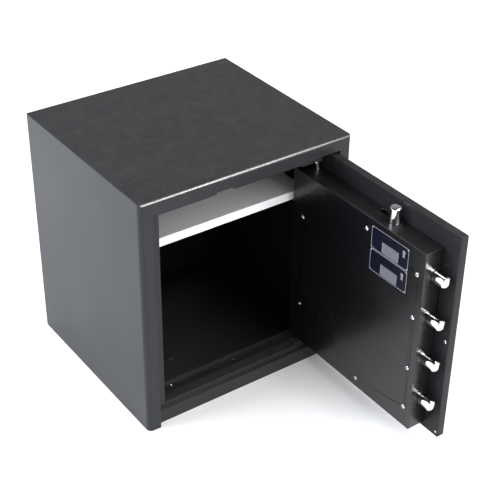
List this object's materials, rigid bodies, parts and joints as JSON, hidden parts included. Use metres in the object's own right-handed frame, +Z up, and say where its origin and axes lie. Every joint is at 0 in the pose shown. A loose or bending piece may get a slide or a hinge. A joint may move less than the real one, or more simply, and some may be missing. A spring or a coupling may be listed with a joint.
{
  "type": "furniture safe",
  "caption": "Small free-standing safe with a thick swing door on concealed hinge pins, round locking bolts thrown by a turning handle, a key lock, a lined cavity and a shelf.",
  "frame": {"origin": "middle of the body's footprint, on the floor", "axes": "+Z up, door opening faces -Y, +X towards the hinge side, which is on the right seen from the front; the door is stored swung open"},
  "size_m": [0.4795, 0.7615, 0.5],
  "materials": {
    "casing_paint": "satin anthracite powder coat with a fine grain",
    "frame_paint": "satin anthracite powder coat",
    "liner_paint": "matt near-black coat",
    "shelf_paint": "satin light grey coat",
    "door_paint": "satin anthracite powder coat",
    "cover_paint": "semi-gloss black coat",
    "barrier_fill": "cast cement filling",
    "bright_chrome": "polished chrome plate",
    "zinc_steel": "bright zinc-plated steel",
    "key_nickel": "nickel plate",
    "bush_brass": "turned brass",
    "label_film": "dark blue printed film with a pale border"
  },
  "bodies": {
    "safe": {"outer_casing": "casing_paint", "rear_panel": "casing_paint", "base_panel": "casing_paint", "bottom_bar": "casing_paint", "inner_liner": "liner_paint", "wall_fill": "barrier_fill", "left_jamb": "frame_paint", "right_jamb": "frame_paint", "top_jamb": "frame_paint", "sill": "frame_paint", "sill_screws": "bright_chrome", "jamb_rivets": "zinc_steel", "hinge_bracket_top": "frame_paint", "hinge_bracket_bottom": "frame_paint", "hinge_bush_top": "bush_brass", "hinge_bush_bottom": "bush_brass", "shelf": "shelf_paint", "shelf_rail_left": "liner_paint", "shelf_rail_right": "liner_paint"},
    "door": {"door_skin": "door_paint", "door_fill": "barrier_fill", "door_inner_plate": "door_paint", "plate_studs": "bright_chrome", "bolt_cover": "cover_paint", "cover_screws": "bright_chrome", "cover_standoffs": "zinc_steel", "bolt_guide": "zinc_steel", "top_guide": "zinc_steel", "hinge_block_top": "zinc_steel", "hinge_block_bottom": "zinc_steel", "hinge_pin_top": "bright_chrome", "hinge_pin_bottom": "bright_chrome", "hard_plate": "zinc_steel", "lock_case": "zinc_steel", "lock_cover": "zinc_steel", "lock_screws": "bright_chrome", "lock_levers": "bush_brass", "label_upper": "label_film", "label_lower": "label_film", "label_rivets": "zinc_steel", "handle_rose": "bright_chrome", "key_escutcheon": "bright_chrome", "spindle_bush": "bush_brass"},
    "handle": {"spindle": "zinc_steel", "drive_disc": "zinc_steel", "drive_pins": "zinc_steel", "handle_hub": "bright_chrome", "handle_bar": "bright_chrome"},
    "side_bolts": {"side_bolt_1": "bright_chrome", "side_bolt_2": "bright_chrome", "side_bolt_3": "bright_chrome", "side_bolt_4": "bright_chrome", "bolt_carrier": "zinc_steel", "carrier_screws": "zinc_steel"},
    "top_bolt": {"top_bolt": "bright_chrome", "top_rod": "zinc_steel"},
    "lock_bolt": {"lock_bolt": "zinc_steel"},
    "key": {"key": "key_nickel"}
  },
  "joints": [
    {"name": "door_swing", "type": "hinge", "parent": "safe", "child": "door", "pos_m": [0.1725, -0.179, 0.25], "axis": [0, 0, 1], "range_deg": [-90, 0]},
    {"name": "handle_turn", "type": "hinge", "parent": "door", "child": "handle", "pos_m": [0.2, -0.4218, 0.237], "axis": [-1, 0, 0], "range_deg": [0, 80]},
    {"name": "side_bolts_slide", "type": "slide", "parent": "door", "child": "side_bolts", "axis": [0, 1, 0], "range_m": [0, 0.02]},
    {"name": "top_bolt_slide", "type": "slide", "parent": "door", "child": "top_bolt", "axis": [0, 0, -1], "range_m": [0, 0.02]},
    {"name": "key_turn", "type": "hinge", "parent": "door", "child": "key", "pos_m": [0.2, -0.4055, 0.15], "axis": [-1, 0, 0], "range_deg": [0, 180]},
    {"name": "lock_bolt_slide", "type": "slide", "parent": "door", "child": "lock_bolt", "axis": [0, 0, 1], "range_m": [0, 0.01]}
  ],
  "couplings": [
    {"joint": "side_bolts_slide", "follows": "handle_turn", "m_per_rad": 0.014323},
    {"joint": "top_bolt_slide", "follows": "handle_turn", "m_per_rad": 0.014323},
    {"joint": "key_turn", "follows": "lock_bolt_slide", "rad_per_m": 314.16}
  ]
}
